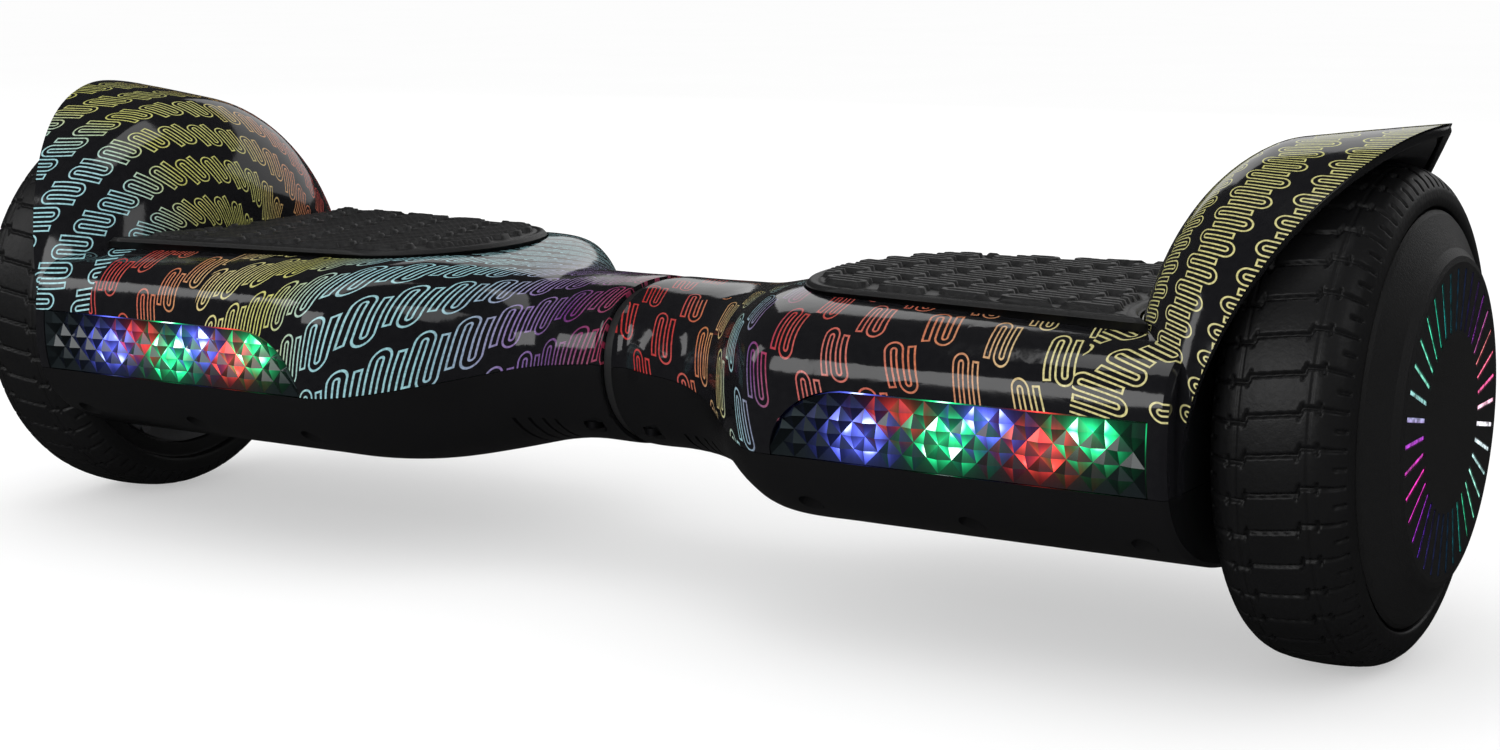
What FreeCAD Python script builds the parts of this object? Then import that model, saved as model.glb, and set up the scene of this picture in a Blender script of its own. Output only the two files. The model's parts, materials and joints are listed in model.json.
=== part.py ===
"""Self balancing hoverboard: two hinged foot platforms, each driven by its own hub-motor wheel.

Millimetres. X runs along the axles, towards the right half. -Y is the front, with the light bars.
Z is up, and the ground is z = 0. The origin is on the ground under the centre pivot.
Every piece is drawn for the right half. The left half is its mirror image in the plane x = 0.
"""
import FreeCAD, Part
import math
import os

os.makedirs("parts", exist_ok=True)
V = FreeCAD.Vector

# Overall sizes
half_length = 292.0        # centre plane to the flat face of a hub cover
tyre_radius = 79.5         # the axle stands this high above the ground
body_half_depth = 92.0     # centre plane to the front of a light bar
fender_gap = 6.0           # tyre tread to the inside of the fender, where the fender is lowest

# Wheel
tyre_width = 44.0
tyre_seat_radius = 60.0    # outside of the motor drum, which the tyre grips
hub_cover_height = 11.0    # how far the hub cover stands out of the tyre's side
hub_rim_radius = 66.0
hub_face_radius = 51.0
hub_wall = 2.2
bead_setback = 3.0         # side of the tyre to the faces that it and the hub cover seat on
cover_gap = 0.6            # rim of the hub cover to the tyre round it
light_slots = 36
drum_wall = 5.0
magnet_depth = 3.0
magnet_count = 30
air_gap = 0.6
stator_teeth = 27
stator_half = 10.0         # half the length of the laminated core
tooth_depth = 14.0
winding_height = 4.0       # how far the coils stand out of the core
axle_radius = 8.0
bearing_radius = 16.0
bearing_width = 9.0
cup_wall = 3.5             # wall of the cup that holds a bearing
cover_thickness = 3.0
cover_screw_radius = 1.35
cover_head_height = 1.6
slot_start = 0.56          # share of the hub face's radius where the light slots begin
slot_end = 0.94
slot_half_width = 0.75
guide_thickness = 2.1

# Body
wall = 3.0
top_wall = 6.2
wheel_clearance = 5.0      # side of the body to the tyre
top_above_axle = 33.5
underside_below_axle = 47.5
widest_below_axle = 1.0
part_line_below_axle = 14.6
lens_height = 23.1
lens_length = 129.0
lens_end_gap = 6.0         # lens to the outer end of the body
lens_arc_length = 28.0
lens_depth = 3.4           # thickness of the clear moulding
end_round = 1.5            # chamfer round the outer end of the body
wall_bore_gap = 5.0        # axle to the side of its hole in the body's end

# Neck, about the centre pivot
neck_gap = 2.3             # centre plane to the end of a neck
neck_length = 36.0
shoulder_end = 99.0        # where the body reaches its full depth
pivot_below_axle = 3.0
neck_half_depth = 39.0
neck_top = 29.0
neck_bottom = 33.0
neck_swell = 3.0           # how much deeper the neck is at its inner edge of the shoulder
neck_grooves = 4
groove_pitch = 5.0
groove_width = 1.2
groove_depth = 0.9

# Fender
fender_foot_inset = 29.0   # body side back to the foot of the fender's dome
fender_foot_radius = 45.0
fender_power = 1.7         # 2 makes the dome's shoulder a quarter ellipse, and less flattens it
fender_lip_radius = 93.0
fender_wall = 3.0
fender_lip_inset = 1.5     # hub face back to the tip of the fender
fender_flare = 9.0         # body side out to where the dome turns into the lip
fender_low_angle = -9.0    # degrees about the axle, where the swept edge starts
fender_gap_to_mat = 0.6

# Foot mat and its sensors
mat_thickness = 6.0
mat_proud = 3.5            # mat top above the shell
mat_travel = 1.5
mat_margin = 0.5           # mat edge to the side of its recess
mat_end_x = 73.0           # tip of the mat's rounded inner end
mat_round = 32.0           # length of that rounded end
mat_inner_half = 54.0      # half width where the rounded end stops
mat_outer_half = 68.0
mat_end_gap = 8.0          # outer edge of the mat to the side of the body
mat_bevel = 2.2
mat_bevel_height = 1.2
window_inset = 9.0
plate_thickness = 5.0
plunger_radius = 4.0
plunger_gap = 4.6          # board to the tip of a plunger at rest, with its switch posts beside it
board_thickness = 1.6
board_half_width = 24.0

# Frame, shaft and axle mounting
frame_plate_above_axle = 11.0
frame_plate_thickness = 4.0
frame_half_width = 58.0
frame_inner_x = 44.0
rib_thickness = 3.0
outer_rib_y = 46.0
inner_rib_y = 14.0
barrel_radius = 22.0
barrel_end = 62.0
shaft_radius = 15.0
shaft_bore = 8.0
bush_wall = 3.0
bush_length = 12.0
twist_limit = 10.0         # degrees each way between the two halves
stop_pin_radius = 3.0
stop_pin_x = 34.0
ring_thickness = 1.4       # snap ring
ring_groove_depth = 1.2
ring_radius = 18.0
block_length = 30.0
block_half_width = 18.0
clamp_height = 12.0
clamp_screw_radius = 2.5
clamp_head_radius = 4.2
clamp_head_height = 4.0
clamp_screw_inset = 6.0

# Shell screws
screw_side_inset = 16.0    # front or back of the body to a row of screws
screw_end_inset = 12.0
screw_head_radius = 3.4
screw_head_height = 2.4
screw_head_gap = 0.8
screw_shank_radius = 1.5
screw_shank_length = 16.0
screw_depth = 10.0         # parting line to the underside of the wall that a head pulls against
post_radius = 6.5
upper_post_radius = 3.6
neck_screw_x = 13.0
neck_post_gap = 1.9        # pivot barrel to a post in the neck

# Electrical pieces
cell_radius = 9.3
cell_length = 65.0
controller_length = 92.0
controller_half_width = 38.0
loom_radius = 5.0
loom_overhang = 2.0        # end of the shaft to the loom's plug
loom_plug = (10.0, 7.0, 4.0)   # length, half width and half height
cable_radius = 3.0
cable_turn = 8.0
strip_setback = 9.0        # front of a light bar to its lamp board
lamp_count = 6
hub_lamp_count = 12

# Switch and inlet on the back of the right half
button_from_shoulder = 38.0
port_from_button = 44.0
bezel_radius = 11.0
button_radius = 7.6
button_gap = 0.1
button_travel = 1.5
button_depth = 9.0
cap_radius = 9.4
cap_gap = 0.3
cap_thickness = 2.6
inlet_radius = 5.5
inlet_pin_radius = 0.8
inlet_pin_circle = 2.6

# Fits
running = 0.05             # radial clearance of a turning fit
seat = 0.06                # radial clearance of a fixed fit
seam = 0.2                 # gap between shell parts
end_gap = 0.2              # free play along an axle or a shaft

# Places worked out from the sizes above
axle_z = tyre_radius
tyre_out = half_length - hub_cover_height + 3.0
tyre_in = tyre_out - tyre_width
tyre_mid = (tyre_in + tyre_out) / 2
side_x = tyre_in - wheel_clearance
top_z = axle_z + top_above_axle
under_z = axle_z - underside_below_axle
widest_z = axle_z - widest_below_axle
pivot_z = axle_z - pivot_below_axle
part_z = axle_z - part_line_below_axle
lens_top_z = part_z + lens_height
lens_out = side_x - lens_end_gap
lens_in = lens_out - lens_length
fender_foot_x = side_x - fender_foot_inset
fender_tip_x = half_length - fender_lip_inset
plate_z = axle_z + frame_plate_above_axle
plate_top = plate_z + frame_plate_thickness
mat_top = top_z + mat_proud
mat_bottom = mat_top - mat_thickness
pad_bottom = mat_bottom - plate_thickness
mat_out = side_x - mat_end_gap
mat_recess = mat_thickness - mat_proud + mat_travel + end_gap
board_z = plate_top + 2.5
block_x = side_x - 3 * wall - block_length
far = half_length + body_half_depth + tyre_radius      # past every piece, for cutting boxes
plunger_x = (mat_end_x + 44.0, fender_foot_x - 32.0)
screw_floor = part_z - screw_depth
row_ends = (shoulder_end + 8.0, side_x - screw_end_inset)
screw_places = ([(x, side * (body_half_depth - screw_side_inset))
                 for x in (row_ends[0], sum(row_ends) / 2, row_ends[1]) for side in (-1, 1)]
                + [(neck_screw_x, side * (barrel_radius + neck_post_gap + upper_post_radius))
                   for side in (-1, 1)])
shaft_end = barrel_end + 6.0
drum_in = tyre_in + 6.0
drum_out = tyre_out - 6.0
drum_bore = tyre_seat_radius - drum_wall
magnet_bore = drum_bore - magnet_depth
stator_radius = magnet_bore - air_gap
cover_base = tyre_out - bead_setback
loom_end = shaft_end + loom_overhang
electrics_x = loom_end + loom_plug[0] + 2.0
button_x = shoulder_end + button_from_shoulder
port_x = button_x + port_from_button
switch_z = (part_z + lens_top_z) / 2 + 1.0
switch_face = body_half_depth - 0.4


def cylinder(x, y, z, radius, length, direction=V(1, 0, 0)):
    return Part.makeCylinder(radius, length, V(x, y, z), direction)


def box(x0, x1, y0, y1, z0, z1):
    return Part.makeBox(x1 - x0, y1 - y0, z1 - z0, V(x0, y0, z0))


def ring(x, z, outer, inner, length):
    """A tube along X about the axis at height z."""
    return cylinder(x, 0, z, outer, length).cut(cylinder(x - 1, 0, z, inner, length + 2))


def revolve(profile, z=None):
    """Turns an (x, radius) outline about the axle."""
    z = axle_z if z is None else z
    points = [V(x, 0, z + r) for x, r in profile]
    face = Part.Face(Part.makePolygon(points + points[:1]))
    return face.revolve(V(0, 0, z), V(1, 0, 0), 360)


def spline(points):
    curve = Part.BSplineCurve()
    curve.interpolate(points)
    return curve.toShape()


def line(a, b):
    return Part.LineSegment(a, b).toShape()


def extrude_y(edges, y0, y1):
    face = Part.Face(Part.Wire(edges))
    face.translate(V(0, y0, 0))
    return face.extrude(V(0, y1 - y0, 0))


def turned(shape, degrees):
    """The shape turned about the axle."""
    copy = shape.copy()
    copy.rotate(V(0, 0, axle_z), V(1, 0, 0), degrees)
    return copy


def mirrored(shape):
    """The left half's copy of a right-hand shape."""
    return shape.mirror(V(0, 0, 0), V(1, 0, 0))


def upright(x, y, z, radius, length):
    return cylinder(x, y, z, radius, length, V(0, 0, 1))


def largest(shape):
    """The one solid of a shape, without slivers."""
    return max(shape.Solids, key=lambda s: s.Volume)


def ease(x, start, end):
    """0 before start, 1 after end, and smooth between them."""
    t = min(1.0, max(0.0, (x - start) / (end - start)))
    return t * t * (3 - 2 * t)


def mix(a, b, t):
    return a + (b - a) * t


# Body shape

def body_sizes(x):
    """Half depth, widest height, top, bottom and the two squareness powers of the body at x."""
    depth = mix(neck_half_depth + neck_swell * ease(x, 0, neck_length), body_half_depth,
                ease(x, neck_length - 4, shoulder_end))
    middle = mix(pivot_z, widest_z, ease(x, neck_length, shoulder_end))
    top = mix(pivot_z + neck_top, top_z, ease(x, neck_length + 2, shoulder_end - 12))
    bottom = mix(pivot_z - neck_bottom, under_z, ease(x, neck_length - 16, shoulder_end - 10))
    share = ease(x, neck_length, shoulder_end)
    return depth, middle, top, bottom, mix(2.4, 4.0, share), mix(2.0, 2.5, share)


def section(x, inset, top_inset):
    """A closed curve round the body at x, drawn in by the insets."""
    depth, middle, top, bottom, upper_power, lower_power = body_sizes(x)
    points = []
    steps = 32
    for i in range(steps):
        angle = 2 * math.pi * (i + 0.5) / steps
        c, s = math.cos(angle), math.sin(angle)
        power = upper_power if s > 0 else lower_power
        height = (top - middle - top_inset) if s > 0 else (middle - bottom - inset)
        y = (depth - inset) * math.copysign(abs(c) ** (2 / power), c)
        z = middle + height * math.copysign(abs(s) ** (2 / power), s)
        points.append(V(x, y, z))
    curve = Part.BSplineCurve()
    curve.interpolate(points, PeriodicFlag=True)
    return Part.Wire([curve.toShape()])


def body_solid(inset, top_inset, start, end, rounded):
    """The body between two planes across X. Its outer end is drawn in a little where rounded."""
    count = 20
    last = end - rounded
    stations = [start + (last - start) * i / count for i in range(count + 1)]
    wires = [section(x, inset, top_inset) for x in stations]
    solid = Part.makeLoft(wires, True, False)
    if rounded:
        ends = [section(last, inset, top_inset), section(end, inset + rounded, top_inset + rounded)]
        solid = solid.fuse(Part.makeLoft(ends, True, True))
    return solid


def part_height(x):
    """Height of the line where the upper and lower shells meet."""
    return mix(pivot_z + 1.0, part_z, ease(x, 8, shoulder_end - 4))


def above_part_line(gap):
    """Everything over the parting line, which is the sheet between the shells."""
    steps = 7
    points = [V(shoulder_end * i / steps, 0, 0) for i in range(steps + 1)]
    points = [V(p.x, 0, part_height(p.x) + gap) for p in points]
    level = points[-1].z
    high = level + far
    edges = [spline(points),
             line(points[-1], V(far, 0, level)),
             line(V(far, 0, level), V(far, 0, high)),
             line(V(far, 0, high), V(0, 0, high)),
             line(V(0, 0, high), points[0])]
    return extrude_y(edges, -far, far)


def fender_profile(inset):
    """The dome's (x, radius) outline: a rounded foot that sweeps out to a nearly level lip."""
    centre_x = side_x + fender_flare
    reach = centre_x - fender_foot_x - inset
    rise = tyre_radius + fender_gap + fender_wall - 1.5 - fender_foot_radius - inset
    bend = 2 / fender_power
    curve = [(centre_x - reach * math.cos(a) ** bend, fender_foot_radius + rise * math.sin(a) ** bend)
             for a in (math.pi / 2 * i / 8 for i in range(8))]
    lip = [(centre_x, fender_foot_radius + rise),
           (fender_tip_x - 12, fender_lip_radius - 1.8 - inset),
           (fender_tip_x + 12, fender_lip_radius + 1.0 - inset)]
    return curve + lip


def fender_solid(inset, end_x):
    """The dome turned about the axle, filled down to the axle's height."""
    profile = fender_profile(inset)
    points = [V(x, 0, axle_z + r) for x, r in profile]
    base = axle_z + 2.0
    last = points[-1]
    edges = [spline(points),
             line(last, V(last.x, 0, base)),
             line(V(last.x, 0, base), V(points[0].x, 0, base)),
             line(V(points[0].x, 0, base), points[0])]
    solid = Part.Face(Part.Wire(edges)).revolve(V(0, 0, axle_z), V(1, 0, 0), 360)
    core = cylinder(points[0].x, 0, axle_z, 2.5, last.x - points[0].x)
    return solid.fuse(core).common(box(0, end_x, -far, far, -far, far))


def fender_trim():
    """What the fender's swept outer edge keeps: further out the higher it goes."""
    lip = fender_lip_radius
    points = []
    steps = 8
    for i in range(steps + 1):
        share = i / steps
        angle = math.radians(mix(fender_low_angle, 90, share))
        sweep = share ** 1.6 * (1 + 0.25 * math.sin(math.pi * share))
        x = mix(side_x + 1.0, fender_tip_x, sweep)
        points.append(V(x, 0, axle_z + lip * math.sin(angle)))
    top = axle_z + far
    low = points[0].z
    edges = [spline(points),
             line(points[-1], V(points[-1].x, 0, top)),
             line(V(points[-1].x, 0, top), V(0, 0, top)),
             line(V(0, 0, top), V(0, 0, low)),
             line(V(0, 0, low), points[0])]
    return extrude_y(edges, -far, far)


def lens_outline(grow):
    """The light bar seen from the front: square outside, a quarter ellipse at its inner end."""
    z0, z1 = part_z - grow, lens_top_z + grow
    x0, x1 = lens_in - grow, lens_out + grow
    arc = [V(x0 + lens_arc_length * (1 - math.cos(a)), 0, z0 + (z1 - z0) * math.sin(a))
           for a in (math.pi / 2 * i / 6 for i in range(7))]
    edges = [spline(arc),
             line(arc[-1], V(x1, 0, z1)),
             line(V(x1, 0, z1), V(x1, 0, z0)),
             line(V(x1, 0, z0), arc[0])]
    return extrude_y(edges, -body_half_depth - 5, -body_half_depth + 14)


def mat_outline(inset):
    """The mat from above: a rounded inner end that widens towards the wheel."""
    tip = mat_end_x + inset
    shoulder = tip + mat_round
    half = mat_inner_half - inset
    wide = mat_outer_half - inset
    out = mat_out - inset
    arc = [V(shoulder - mat_round * math.cos(a), half * math.sin(a), 0)
           for a in (math.pi / 2 * (i - 5) / 5 for i in range(11))]
    edges = [spline(arc),
             line(arc[-1], V(out, wide, 0)),
             line(V(out, wide, 0), V(out, -wide, 0)),
             line(V(out, -wide, 0), arc[0])]
    return Part.Face(Part.Wire(edges))


def mat_prism(inset, z0, z1):
    face = mat_outline(inset)
    face.translate(V(0, 0, z0))
    return face.extrude(V(0, 0, z1 - z0))


def sensor_window(inset, z0, z1):
    """The hole through the deck under the mat, which stops short of the fender's dome."""
    limit = box(0, fender_foot_x - 2 * wall - inset, -far, far, z0 - 1, z1 + 1)
    return mat_prism(window_inset + inset, z0, z1).common(limit)


def screw_post_top(place):
    """Top of a lower post. Those in the neck stop a little higher, beside the pivot's barrel."""
    return part_z - (4.0 if place[0] > neck_length else 3.0)


def outer_form():
    body = body_solid(0, 0, neck_gap, side_x, end_round)
    fender = fender_solid(0, fender_tip_x + 10).common(fender_trim())
    return body, fender.common(above_part_line(0))


def cavity(body_start):
    return body_solid(wall, top_wall, body_start, side_x - wall, 0)


def axle_hole():
    return cylinder(side_x - 2 * wall, 0, axle_z, axle_radius + wall_bore_gap, 4 * wall)


def upper_shell(body, fender, hollow):
    shell = body.fuse(fender)
    shell = shell.common(above_part_line(seam / 2))
    shell = shell.cut(hollow)
    dome = fender_solid(fender_wall, fender_tip_x + 10)
    partition = box(side_x - wall, side_x, -far, far, 0, far)
    shell = shell.cut(dome.cut(partition))
    shell = shell.cut(mat_prism(-mat_margin, top_z - mat_recess, top_z + 20).cut(
        fender_solid(-fender_gap_to_mat / 2, side_x)))
    shell = shell.cut(sensor_window(0, top_z - 20, top_z + 1))
    shell = shell.cut(lens_outline(seam))
    shell = shell.cut(axle_hole())
    posts = None
    for place in screw_places:
        x, y = place
        base = screw_post_top(place) + seam
        rod = upright(x, y, base, upper_post_radius, far).common(body)
        rod = rod.cut(upright(x, y, base - 1, screw_shank_radius + seat, screw_shank_length - 2))
        posts = rod if posts is None else posts.fuse(rod)
    return largest(shell.fuse(posts))


def switch_holes():
    """The two holes in the back of the right upper shell."""
    radius = bezel_radius + seat
    return [y_cylinder(x, switch_face - 4 * wall, body_half_depth + wall, radius) for x in (button_x, port_x)]


def lower_shell(body, hollow):
    below = box(0, far, -far, far, -far, far).cut(above_part_line(-seam / 2))
    shell = body.cut(hollow).common(below)
    shell = shell.cut(axle_hole())
    for place in screw_places:
        x, y = place
        post = upright(x, y, 0, post_radius, screw_post_top(place)).common(body)
        shell = shell.fuse(post)
    for place in screw_places:
        x, y = place
        shell = shell.cut(upright(x, y, 0, screw_head_radius + screw_head_gap, screw_floor))
        shell = shell.cut(upright(x, y, 0, screw_shank_radius + seat, axle_z))
    under = box(0, far, -far, far, 0, pivot_z - barrel_radius)
    for i in range(neck_grooves):
        x = neck_length - 8 + groove_pitch * i
        groove = Part.Face(section(x, -1, 0)).extrude(V(groove_width, 0, 0))
        keep = Part.Face(section(x, groove_depth, 0)).extrude(V(groove_width, 0, 0))
        shell = shell.cut(groove.cut(keep).common(under))
    return largest(shell)


def shell_screws():
    solids = []
    for place in screw_places:
        x, y = place
        head = upright(x, y, screw_floor - screw_head_height, screw_head_radius, screw_head_height)
        socket = upright(x, y, screw_floor - screw_head_height - 1, screw_shank_radius, 2.2)
        shank = upright(x, y, screw_floor, screw_shank_radius, screw_shank_length)
        solids.append(head.cut(socket).fuse(shank).removeSplitter())
    return Part.makeCompound(solids)


def light_lens(body):
    form = lens_outline(0).common(body)
    back = box(0, side_x, -body_half_depth + lens_depth, far, 0, far)
    return largest(form.cut(back))


def light_board():
    """A strip board with a row of lamps facing forward."""
    y = -body_half_depth + strip_setback
    x0, x1 = lens_in + lens_arc_length, lens_out - wall
    board = box(x0, x1, y, y + board_thickness, part_z + wall, lens_top_z - wall - 1)
    middle, half = (part_z + lens_top_z) / 2, 2.5
    for i in range(lamp_count):
        x = x0 + (i + 0.5) * (x1 - x0) / lamp_count
        board = board.fuse(box(x - half, x + half, y - 2, y, middle - half, middle + half))
    return board.removeSplitter()


# Foot mat and sensor

def foot_mat():
    low = mat_prism(0, mat_bottom, mat_top - mat_bevel_height)
    high = mat_prism(mat_bevel, mat_top - mat_bevel_height, mat_top)
    dome = fender_solid(-fender_gap_to_mat, side_x)
    met_when_pressed = dome.translated(V(0, 0, mat_travel))
    return largest(low.fuse(high).cut(dome).cut(met_when_pressed).removeSplitter())


def pad_plate():
    """The stiff plate bonded under the mat, with a plunger over each switch."""
    plate = sensor_window(1.0, pad_bottom, mat_bottom)
    tip = board_z + board_thickness + plunger_gap - 0.6
    for x in plunger_x:
        plate = plate.fuse(upright(x, 0, tip, plunger_radius, pad_bottom - tip + 1))
    return largest(plate.removeSplitter())


def gyro_board():
    """The balance board, with a light-gate switch under each plunger and four standoffs."""
    x0, x1 = plunger_x[0] - 14, plunger_x[1] + 14
    face = board_z + board_thickness
    board = box(x0, x1, -board_half_width, board_half_width, board_z, face)
    post_y = plunger_radius + 3.5
    for x in plunger_x:
        for y in (-post_y, post_y):
            board = board.fuse(box(x - 5, x + 5, y - 2, y + 2, face, face + 4.4))
    middle, chip = (x0 + x1) / 2, 8
    board = board.fuse(box(middle - chip, middle + chip, -chip, chip, face, face + 1.8))
    for x in (x0 + 4, x1 - 4):
        for side in (-1, 1):
            y = side * (board_half_width - 4)
            board = board.fuse(upright(x, y, plate_top, 3.0, board_z - plate_top))
    return board.removeSplitter()


# Frame, shaft and axle mounting

def frame_outline():
    wide_x = shoulder_end + 8
    out = side_x - wall - 4
    points = [(frame_inner_x, barrel_radius), (wide_x, frame_half_width), (out, frame_half_width)]
    corners = [V(x, y, plate_z) for x, y in points] + [V(x, -y, plate_z) for x, y in reversed(points)]
    return Part.Face(Part.makePolygon(corners + corners[:1]))


def frame(bore):
    """The cast chassis of one half: deck plate, pivot barrel, ribs and the axle's upper seat."""
    form = frame_outline().extrude(V(0, 0, frame_plate_thickness))
    start = neck_gap + 3
    form = form.fuse(cylinder(start, 0, pivot_z, barrel_radius, barrel_end - start))
    half = rib_thickness / 2
    for side in (-1, 1):
        y = side * outer_rib_y
        form = form.fuse(box(shoulder_end, side_x - 4 * wall, y - half, y + half, plate_z - 9, plate_z))
        y = side * inner_rib_y
        form = form.fuse(box(barrel_end - 14, block_x + 2, y - half, y + half, plate_z - 7, plate_z))
    form = form.fuse(box(block_x, block_x + block_length, -block_half_width, block_half_width,
                         axle_z + end_gap, plate_z))
    form = form.cut(cylinder(0, 0, pivot_z, bore, barrel_end + 40))
    form = form.cut(cylinder(barrel_end, 0, pivot_z, ring_radius + 1, 4 * ring_thickness))
    form = form.cut(cylinder(block_x - 20, 0, axle_z, axle_radius + seat, far))
    for x, y in clamp_screw_places():
        form = form.cut(upright(x, y, 0, clamp_screw_radius + seat, plate_z + 0.5))
    return largest(form.removeSplitter())


def moving_frame():
    """The right frame turns on the shaft in two bushes, and has a slot for the stop pin."""
    form = frame(shaft_radius + bush_wall + seat)
    half = stop_pin_radius + 2 * end_gap
    reach = barrel_radius * math.sin(math.radians(twist_limit + 2)) + half
    slot = box(stop_pin_x - half, stop_pin_x + half, -reach, reach, pivot_z, pivot_z + barrel_radius + 0.5)
    return largest(form.cut(slot))


def fixed_frame():
    """The left frame grips the shaft."""
    form = frame(shaft_radius + seat)
    pin = upright(stop_pin_x, 0, pivot_z, stop_pin_radius + seat, far)
    return mirrored(largest(form.cut(pin)))


def ring_middle():
    """Place of a snap ring, just past the end of the barrel."""
    return barrel_end + end_gap + ring_thickness / 2 + 0.7


def pivot_shaft():
    shaft = ring(-shaft_end, pivot_z, shaft_radius, shaft_bore, 2 * shaft_end)
    for side in (-1, 1):
        width = ring_thickness + end_gap
        groove = ring(side * ring_middle() - width / 2, pivot_z, shaft_radius + 1,
                      shaft_radius - ring_groove_depth, width)
        hole = upright(side * stop_pin_x, 0, pivot_z, stop_pin_radius + seat, far)
        shaft = shaft.cut(groove).cut(hole)
    return largest(shaft)


def pivot_bushes():
    solids = []
    for x in (neck_gap + 3 + end_gap, barrel_end - bush_length - end_gap):
        solids.append(ring(x, pivot_z, shaft_radius + bush_wall, shaft_radius + running, bush_length))
    return Part.makeCompound(solids)


def snap_rings():
    solids = []
    for side in (-1, 1):
        x = side * ring_middle()
        clip = ring(x - ring_thickness / 2, pivot_z, ring_radius,
                    shaft_radius - ring_groove_depth + seat, ring_thickness)
        solids.append(clip.cut(box(x - 2, x + 2, -3, 3, pivot_z - 2 * shaft_radius, pivot_z)))
    return Part.makeCompound(solids)


def stop_pins():
    """The right pin limits the twist in its slot. The left one locks the shaft in its frame."""
    solids = []
    low, high = shaft_bore + 0.5, barrel_radius - 1.0
    for side in (-1, 1):
        solids.append(upright(side * stop_pin_x, 0, pivot_z + low, stop_pin_radius, high - low))
    return Part.makeCompound(solids)


def neck_seal():
    """The dark ring between the two necks."""
    inset, start, length = 1.6, -neck_gap + 0.3, 2 * neck_gap - 0.8
    face = Part.Face(section(0, inset, inset))
    face.translate(V(start, 0, 0))
    hole = cylinder(start - 1, 0, pivot_z, shaft_radius + seat, length + 2)
    return largest(face.extrude(V(length, 0, 0)).cut(hole))


def wiring_loom():
    """The cable that crosses from half to half inside the hollow shaft."""
    length, half, height = loom_plug
    cable = cylinder(-loom_end, 0, pivot_z, loom_radius, 2 * loom_end)
    for x in (-loom_end - length, loom_end):
        cable = cable.fuse(box(x, x + length, -half, half, pivot_z - height, pivot_z + height))
    return cable.removeSplitter()


def clamp_screw_places():
    xs = (block_x + clamp_screw_inset, block_x + block_length - clamp_screw_inset)
    y = block_half_width - clamp_head_radius - 0.3
    return [(x, side * y) for x in xs for side in (-1, 1)]


def axle_clamp():
    cap = box(block_x, block_x + block_length, -block_half_width, block_half_width,
              axle_z - clamp_height, axle_z - end_gap)
    cap = cap.cut(cylinder(block_x - 5, 0, axle_z, axle_radius + seat, block_length + 10))
    for x, y in clamp_screw_places():
        cap = cap.cut(upright(x, y, 0, clamp_screw_radius + seat, far))
    return cap


def clamp_screws():
    solids = []
    for x, y in clamp_screw_places():
        base = axle_z - clamp_height
        head = upright(x, y, base - clamp_head_height, clamp_head_radius, clamp_head_height)
        shank = upright(x, y, base, clamp_screw_radius, clamp_height + 9)
        socket = upright(x, y, base - clamp_head_height - 1, clamp_screw_radius - 0.5, 3.2)
        solids.append(head.fuse(shank).cut(socket).removeSplitter())
    return Part.makeCompound(solids)


# Wheel

def tyre():
    """A solid tyre with a crowned tread and rounded shoulders."""
    half = tyre_width / 2
    bead = half - bead_setback
    foot = hub_rim_radius + cover_gap
    rise = tyre_radius - foot
    profile = [(-bead, tyre_seat_radius + seat), (-bead, foot - 0.4), (-half, foot),
               (-half + 1.6, foot + 0.46 * rise), (-half + 6, tyre_radius - 2.6),
               (-half + 13, tyre_radius - 0.6), (0, tyre_radius)]
    points = profile + [(-x, r) for x, r in reversed(profile[:-1])]
    outline = [V(tyre_mid + x, 0, axle_z + r) for x, r in points]
    edges = [line(a, b) for a, b in zip(outline[:2], outline[1:3])] + [spline(outline[2:-2])]
    edges += [line(a, b) for a, b in zip(outline[-3:], outline[-2:] + outline[:1])]
    return Part.Face(Part.Wire(edges)).revolve(V(0, 0, axle_z), V(1, 0, 0), 360)


def motor_drum():
    return ring(drum_in, axle_z, tyre_seat_radius, drum_bore, drum_out - drum_in)


def motor_magnets():
    solids = []
    sweep = 360 / magnet_count
    length = drum_out - drum_in - 8
    tube = ring(drum_in + 4, axle_z, drum_bore - seat, magnet_bore, length)
    half = 0.8 * math.pi * magnet_bore / magnet_count
    wedge = box(drum_in, drum_out, -half, half, axle_z, axle_z + far)
    for i in range(magnet_count):
        solids.append(tube.common(turned(wedge, i * sweep)))
    return Part.makeCompound(solids)


def motor_stator():
    """The laminated core: a hub on the axle and a ring of teeth, hollowed at its sides for the bearings."""
    x0, x1 = tyre_mid - stator_half, tyre_mid + stator_half
    core = ring(x0, axle_z, stator_radius, axle_radius + seat, x1 - x0)
    slot = box(x0 - 1, x1 + 1, -1.6, 1.6, axle_z + stator_radius - tooth_depth, axle_z + stator_radius + 2)
    for i in range(stator_teeth):
        core = core.cut(turned(slot, (i + 0.5) * 360 / stator_teeth))
    pocket_radius = bearing_radius + cup_wall + 1
    depth = drum_in + end_gap + bearing_width + 1 - x0
    for x in (x0, x1 - depth):
        core = core.cut(cylinder(x, 0, axle_z, pocket_radius, depth))
    rim_radius = stator_radius - tooth_depth
    web = (pocket_radius + rim_radius) / 2
    hole = cylinder(x0 - 1, 0, axle_z + web, 0.35 * (rim_radius - pocket_radius), x1 - x0 + 2)
    for i in range(6):
        core = core.cut(turned(hole, i * 60))
    return core


def motor_windings():
    """The copper coil ends on both sides of the core."""
    outer, inner = stator_radius - 2.5, stator_radius - tooth_depth + 1
    starts = (tyre_mid - stator_half - winding_height - running, tyre_mid + stator_half + running)
    sides = [ring(x, axle_z, outer, inner, winding_height) for x in starts]
    return Part.makeCompound(sides)


def axle():
    """The hollow axle that the stator is fixed to. It doesn't turn."""
    x0 = block_x - 3
    x1 = drum_out + cover_thickness - 1
    shaft = ring(x0, axle_z, axle_radius, cable_radius + 0.2, x1 - x0)
    outlet = upright(drum_in + 12, 0, axle_z, cable_radius, 2 * axle_radius)
    return largest(shaft.cut(outlet))


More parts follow.
